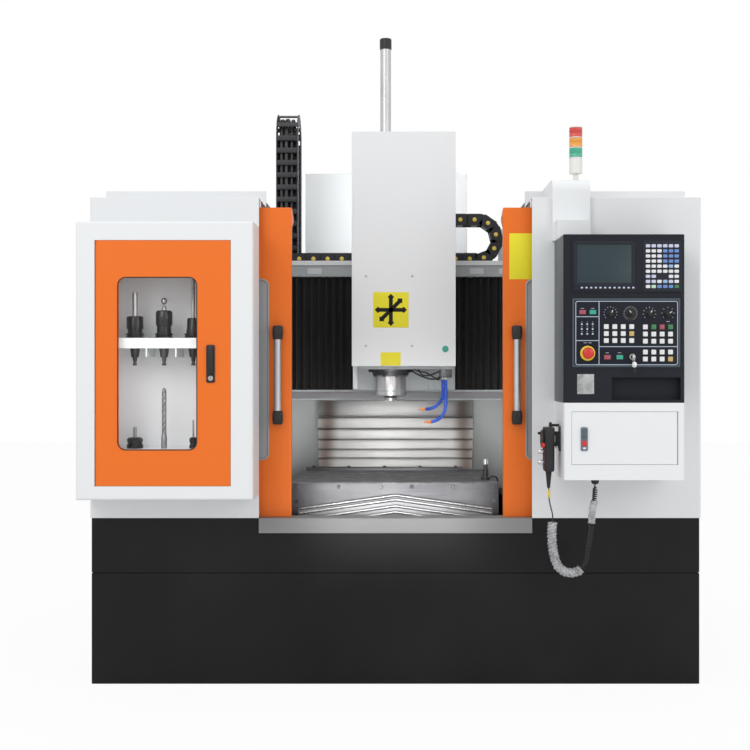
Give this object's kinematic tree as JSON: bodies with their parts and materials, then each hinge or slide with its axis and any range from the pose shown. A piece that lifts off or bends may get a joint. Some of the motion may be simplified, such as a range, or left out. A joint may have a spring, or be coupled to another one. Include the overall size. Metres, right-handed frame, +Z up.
{
  "type": "cnc machining centre",
  "caption": "Upright CNC mill with sliding doors open on the table, a tool cabinet at the left, a control console and hand pendant at the right, on a black base.",
  "frame": {"origin": "centre of the base on the floor", "axes": "+X to the right seen from the operator's side, +Y from the operator to the back, +Z up"},
  "size_m": [2.145, 1.979, 2.411],
  "materials": {
    "black_paint": "satin, smooth powder coat",
    "white_paint": "satin powder coat",
    "pale_paint": "satin powder coat",
    "grey_paint": "satin, light scuffs",
    "orange_paint": "satin, faint orange peel",
    "console_paint": "satin, fine texture",
    "steel": "brushed, worn",
    "dark_steel": "ground, oiled",
    "bright_steel": "polished, turned",
    "aluminium": "anodised, satin",
    "cast": "painted casting, smooth",
    "bellows_fabric": "coated cloth, matt",
    "chain_plastic": "matt, moulded",
    "grey_glass": "tinted pane",
    "clear_glass": "clear pane",
    "lamp_plastic": "clear coloured lens",
    "white_plastic": "smooth",
    "red_plastic": "smooth",
    "blue_plastic": "smooth, segmented",
    "black_plastic": "fine texture",
    "cord_rubber": "curled lead"
  },
  "bodies": {
    "machine_frame": {"base_frame": "black_paint", "sill": "grey_paint", "left_housing": "white_paint", "right_housing": "white_paint", "gantry": "cast", "chain_tray": "pale_paint", "splash_walls": "pale_paint", "rear_cabinet": "pale_paint", "riser_chain": "chain_plastic", "tool_cabinet": "white_paint", "upper_tools": "dark_steel", "lower_tools": "steel", "control_cabinet": "white_paint", "console_body": "console_paint", "nc_unit": "black_plastic", "operator_panel": "black_plastic", "cable_duct": "white_paint", "tower_stem": "white_plastic", "tower_lenses": "lamp_plastic", "cord_gland": "black_plastic", "pendant_cord": "cord_rubber", "pendant_lead": "cord_rubber", "pendant_body": "black_plastic", "pendant_holder": "black_plastic"},
    "left_sliding_door": {"left_door": "orange_paint", "left_window": "grey_glass", "left_handle": "aluminium"},
    "right_sliding_door": {"right_door": "orange_paint", "right_window": "grey_glass", "right_handle": "aluminium"},
    "tool_door": {"cabinet_door": "orange_paint", "cabinet_window": "clear_glass"},
    "tool_door_latch": {"cabinet_latch": "black_plastic"},
    "storage_door": {"compartment_door": "white_paint"},
    "storage_door_latch": {"compartment_latch": "black_plastic"},
    "table": {"work_table": "dark_steel", "front_apron": "steel", "rear_cover_1": "steel", "tool_setter": "bright_steel"},
    "front_section_1": {"front_cover_1": "steel"},
    "front_section_2": {"front_cover_2": "steel"},
    "front_section_3": {"front_cover_3": "steel"},
    "rear_section_2": {"rear_cover_2": "steel"},
    "rear_section_3": {"rear_cover_3": "steel"},
    "rear_section_4": {"rear_cover_4": "steel"},
    "rear_section_5": {"rear_cover_5": "steel"},
    "cross_saddle": {"saddle": "cast", "left_bellows": "bellows_fabric", "right_bellows": "bellows_fabric"},
    "travelling_chain": {"x_chain": "chain_plastic"},
    "head": {"head_body": "cast", "head_cover": "white_paint", "balance_tube": "aluminium", "coolant_hoses": "blue_plastic"},
    "spindle_shaft": {"spindle": "bright_steel"},
    "pulse_wheel": {"handwheel": "black_plastic"},
    "stop_button": {"e_stop": "red_plastic"},
    "feed_dial": {"feed_knob": "black_plastic"},
    "speed_dial": {"speed_knob": "black_plastic"},
    "lock_key": {"key_switch": "bright_steel"}
  },
  "joints": [
    {"name": "left_door_slide", "type": "slide", "parent": "machine_frame", "child": "left_sliding_door", "axis": [1, 0, 0], "range_m": [0, 0.374]},
    {"name": "right_door_slide", "type": "slide", "parent": "machine_frame", "child": "right_sliding_door", "axis": [-1, 0, 0], "range_m": [0, 0.374]},
    {"name": "tool_door_hinge", "type": "hinge", "parent": "machine_frame", "child": "tool_door", "pos_m": [-1.001, -1.025, 1.12], "axis": [0, 0, -1], "range_deg": [0, 94]},
    {"name": "tool_door_latch_turn", "type": "hinge", "parent": "tool_door", "child": "tool_door_latch", "pos_m": [-0.6205, -1.034, 1.1685], "axis": [0, 1, 0], "range_deg": [0, 90]},
    {"name": "storage_door_hinge", "type": "hinge", "parent": "machine_frame", "child": "storage_door", "pos_m": [0.927, -1.087, 0.873], "axis": [0, 0, 1], "range_deg": [0, 94]},
    {"name": "storage_door_latch_turn", "type": "hinge", "parent": "storage_door", "child": "storage_door_latch", "pos_m": [0.6245, -1.095, 0.8975], "axis": [0, -1, 0], "range_deg": [0, 90]},
    {"name": "table_slide", "type": "slide", "parent": "machine_frame", "child": "table", "axis": [0, 1, 0], "range_m": [0, 0.3]},
    {"name": "front_section_1_slide", "type": "slide", "parent": "machine_frame", "child": "front_section_1", "axis": [0, 1, 0], "range_m": [0, 0.225]},
    {"name": "front_section_2_slide", "type": "slide", "parent": "machine_frame", "child": "front_section_2", "axis": [0, 1, 0], "range_m": [0, 0.15]},
    {"name": "front_section_3_slide", "type": "slide", "parent": "machine_frame", "child": "front_section_3", "axis": [0, 1, 0], "range_m": [0, 0.075]},
    {"name": "rear_section_2_slide", "type": "slide", "parent": "machine_frame", "child": "rear_section_2", "axis": [0, 1, 0], "range_m": [0, 0.24]},
    {"name": "rear_section_3_slide", "type": "slide", "parent": "machine_frame", "child": "rear_section_3", "axis": [0, 1, 0], "range_m": [0, 0.18]},
    {"name": "rear_section_4_slide", "type": "slide", "parent": "machine_frame", "child": "rear_section_4", "axis": [0, 1, 0], "range_m": [0, 0.12]},
    {"name": "rear_section_5_slide", "type": "slide", "parent": "machine_frame", "child": "rear_section_5", "axis": [0, 1, 0], "range_m": [0, 0.06]},
    {"name": "saddle_slide", "type": "slide", "parent": "machine_frame", "child": "cross_saddle", "axis": [1, 0, 0], "range_m": [-0.25, 0.2], "deforming": ["left_bellows", "right_bellows"]},
    {"name": "travelling_chain_slide", "type": "slide", "parent": "machine_frame", "child": "travelling_chain", "axis": [1, 0, 0], "range_m": [-0.125, 0.1]},
    {"name": "head_slide", "type": "slide", "parent": "cross_saddle", "child": "head", "axis": [0, 0, 1], "range_m": [-0.19, 0.05]},
    {"name": "spindle_spin", "type": "hinge", "parent": "head", "child": "spindle_shaft", "pos_m": [-0.02, -0.24, 1], "axis": [0, 0, 1], "continuous": true},
    {"name": "pulse_wheel_spin", "type": "hinge", "parent": "machine_frame", "child": "pulse_wheel", "pos_m": [0.495, -1, 0.866], "axis": [1, 0, 0], "continuous": true},
    {"name": "stop_button_press", "type": "slide", "parent": "machine_frame", "child": "stop_button", "axis": [0, 1, 0], "range_m": [0, 0.005]},
    {"name": "feed_dial_turn", "type": "hinge", "parent": "machine_frame", "child": "feed_dial", "pos_m": [0.777, -1.11, 1.286], "axis": [0, 1, 0], "range_deg": [-135, 135]},
    {"name": "speed_dial_turn", "type": "hinge", "parent": "machine_frame", "child": "speed_dial", "pos_m": [0.84, -1.11, 1.286], "axis": [0, 1, 0], "range_deg": [-135, 135]},
    {"name": "lock_key_turn", "type": "hinge", "parent": "machine_frame", "child": "lock_key", "pos_m": [0.783, -1.11, 1.142], "axis": [0, 1, 0], "range_deg": [0, 90]}
  ],
  "couplings": [
    {"joint": "front_section_1_slide", "follows": "table_slide", "ratio": 0.75},
    {"joint": "front_section_2_slide", "follows": "table_slide", "ratio": 0.5},
    {"joint": "front_section_3_slide", "follows": "table_slide", "ratio": 0.25},
    {"joint": "rear_section_2_slide", "follows": "table_slide", "ratio": 0.8},
    {"joint": "rear_section_3_slide", "follows": "table_slide", "ratio": 0.6},
    {"joint": "rear_section_4_slide", "follows": "table_slide", "ratio": 0.4},
    {"joint": "rear_section_5_slide", "follows": "table_slide", "ratio": 0.2},
    {"joint": "travelling_chain_slide", "follows": "saddle_slide", "ratio": 0.5}
  ]
}
